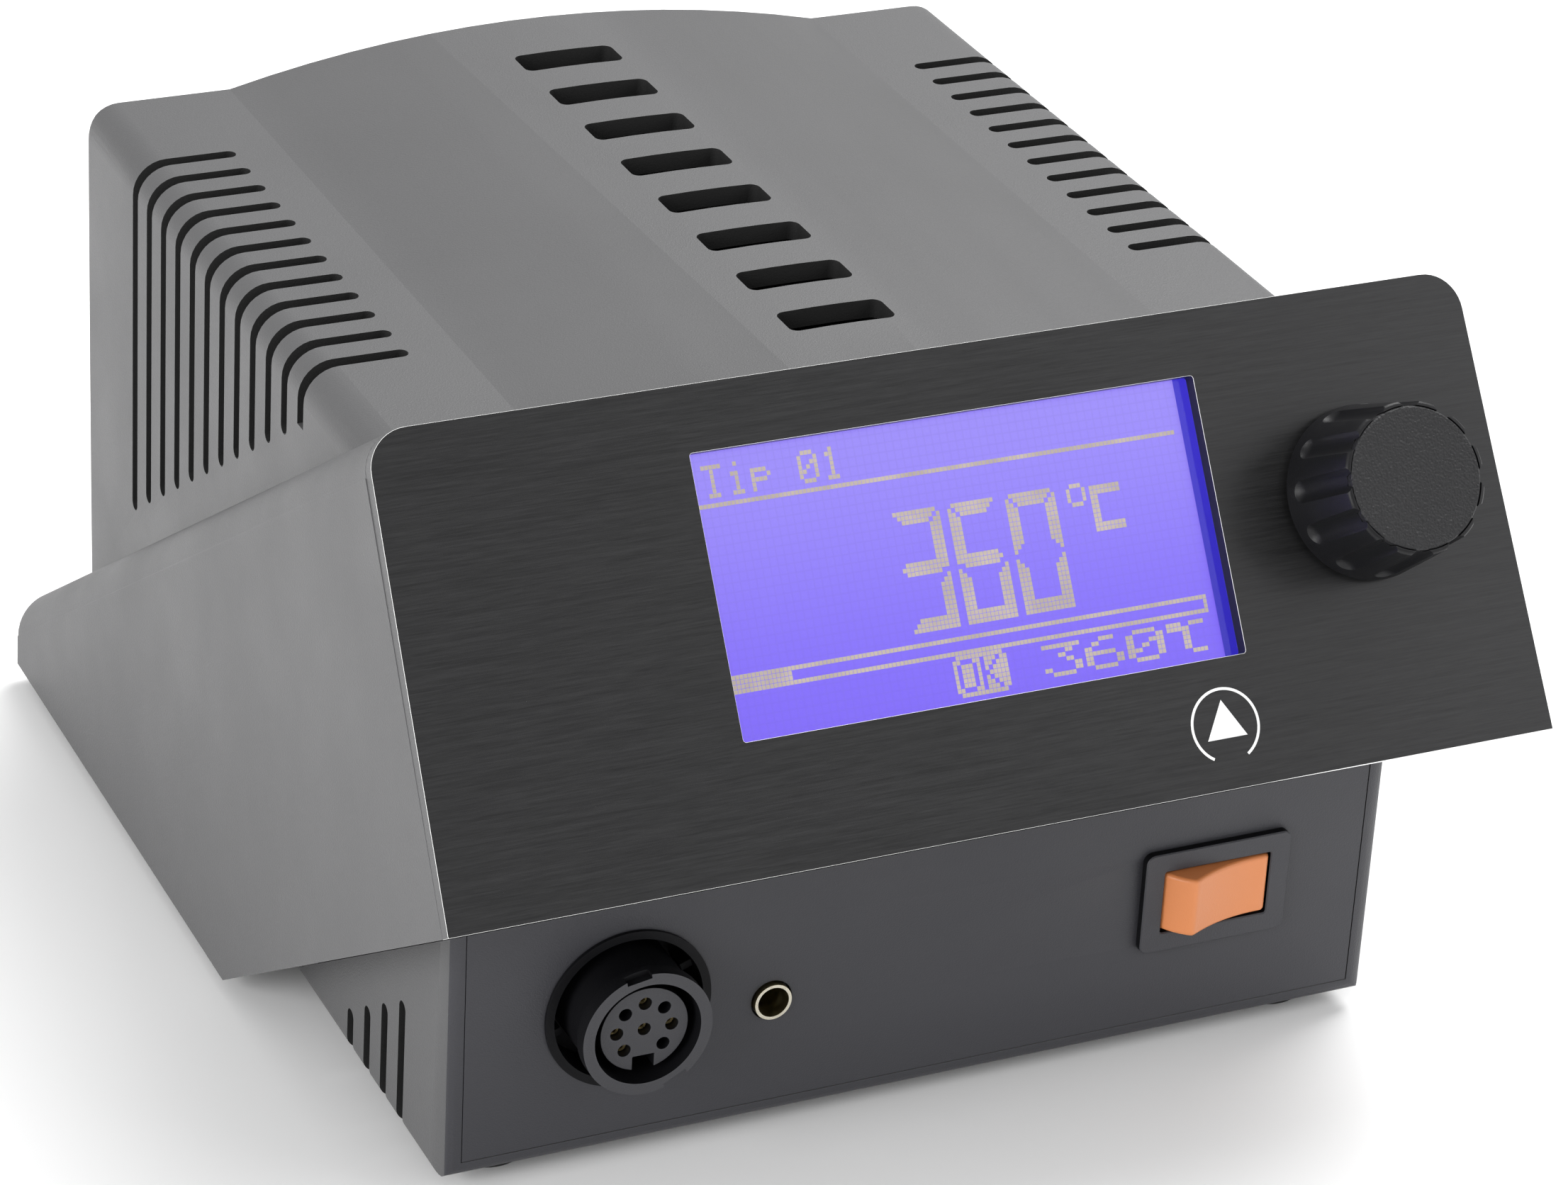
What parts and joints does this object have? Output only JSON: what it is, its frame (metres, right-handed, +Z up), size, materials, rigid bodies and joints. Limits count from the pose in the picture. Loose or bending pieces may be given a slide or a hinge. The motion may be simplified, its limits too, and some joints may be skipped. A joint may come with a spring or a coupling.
{
  "type": "soldering iron station",
  "caption": "Desk soldering station: grey vented housing, leaning black control panel with display and turn-and-press knob, tool socket, earth jack, rocker switch.",
  "frame": {"origin": "on the resting surface under the middle of the station's overall box", "axes": "+X to the right seen from the front, +Y to the back, +Z up"},
  "size_m": [0.1472, 0.1634, 0.1001],
  "materials": {
    "upper_housing": "fine spark-eroded moulded grain",
    "base_tray": "fine spark-eroded moulded grain",
    "front_fascia": "fine moulded grain",
    "front_panel": "brushed and black anodised, bare bright edge",
    "display_window": "clear",
    "lcd_glass": "backlit display",
    "lcd_frame": "satin black",
    "lcd_board": "circuit board",
    "control_board": "circuit board",
    "control_chips": "moulded chips",
    "board_spacers": "plated",
    "encoder_body": "plated can",
    "encoder_bushing": "nickel plated",
    "encoder_nut": "plated",
    "encoder_plunger": "moulded",
    "encoder_shaft": "turned",
    "control_knob": "satin black",
    "knob_cap": "fine grained",
    "socket_collar": "black moulded",
    "socket_shell": "black moulded",
    "socket_insert": "black moulded",
    "socket_contacts": "bright",
    "socket_nut": "black moulded",
    "earth_jack": "bright",
    "earth_jack_nut": "plated",
    "switch_bezel": "moulded",
    "switch_body": "moulded",
    "switch_rocker": "satin orange",
    "switch_terminals": "tinned",
    "mains_inlet": "moulded",
    "inlet_pins": "nickel plated",
    "fuse_drawer": "moulded",
    "fuses": "clear tube",
    "transformer_core": "laminated steel",
    "transformer_winding": "taped winding",
    "transformer_strap": "zinc plated",
    "strap_bolts": "zinc plated",
    "power_board": "circuit board",
    "heatsink": "extruded",
    "power_triac": "moulded",
    "reservoir_capacitor": "sleeved can",
    "terminal_block": "moulded",
    "board_screws": "zinc plated",
    "ribbon_headers": "moulded",
    "ribbon_cable": "flexible",
    "mains_leads": "insulated wire",
    "earth_lead": "insulated wire",
    "secondary_leads": "insulated wire",
    "socket_cable": "jacketed cable",
    "rubber_feet": "moulded rubber",
    "housing_screws": "zinc plated"
  },
  "bodies": {
    "housing": {"upper_housing": "upper_housing", "base_tray": "base_tray", "front_fascia": "front_fascia", "front_panel": "front_panel", "display_window": "display_window", "lcd_glass": "lcd_glass", "lcd_frame": "lcd_frame", "lcd_board": "lcd_board", "control_board": "control_board", "control_chips": "control_chips", "board_spacers": "board_spacers", "encoder_body": "encoder_body", "encoder_bushing": "encoder_bushing", "encoder_nut": "encoder_nut", "socket_collar": "socket_collar", "socket_shell": "socket_shell", "socket_insert": "socket_insert", "socket_contacts": "socket_contacts", "socket_nut": "socket_nut", "earth_jack": "earth_jack", "earth_jack_nut": "earth_jack_nut", "switch_bezel": "switch_bezel", "switch_body": "switch_body", "switch_terminals": "switch_terminals", "mains_inlet": "mains_inlet", "inlet_pins": "inlet_pins", "transformer_core": "transformer_core", "transformer_winding": "transformer_winding", "transformer_strap": "transformer_strap", "strap_bolts": "strap_bolts", "power_board": "power_board", "heatsink": "heatsink", "power_triac": "power_triac", "reservoir_capacitor": "reservoir_capacitor", "terminal_block": "terminal_block", "board_screws": "board_screws", "ribbon_headers": "ribbon_headers", "ribbon_cable": "ribbon_cable", "mains_leads": "mains_leads", "earth_lead": "earth_lead", "secondary_leads": "secondary_leads", "socket_cable": "socket_cable", "rubber_feet": "rubber_feet", "housing_screws": "housing_screws"},
    "push_carrier": {"encoder_plunger": "encoder_plunger"},
    "knob": {"encoder_shaft": "encoder_shaft", "control_knob": "control_knob", "knob_cap": "knob_cap"},
    "rocker": {"switch_rocker": "switch_rocker"},
    "fuse_tray": {"fuse_drawer": "fuse_drawer", "fuses": "fuses"}
  },
  "joints": [
    {"name": "knob_push", "type": "slide", "parent": "housing", "child": "push_carrier", "axis": [0, 0.8335, -0.5525], "range_m": [0, 0.0005], "stiffness_N_per_m": 3000},
    {"name": "knob_turn", "type": "hinge", "parent": "push_carrier", "child": "knob", "pos_m": [0.0526, -0.06385, 0.07891], "axis": [0, -0.8335, 0.5525], "continuous": true},
    {"name": "rocker_tilt", "type": "hinge", "parent": "housing", "child": "rocker", "pos_m": [0.0398, -0.05605, 0.0229], "axis": [0, 0, 1], "range_deg": [-26, 0]},
    {"name": "fuse_drawer_slide", "type": "slide", "parent": "housing", "child": "fuse_tray", "axis": [0, 1, 0], "range_m": [0, 0.015]}
  ]
}
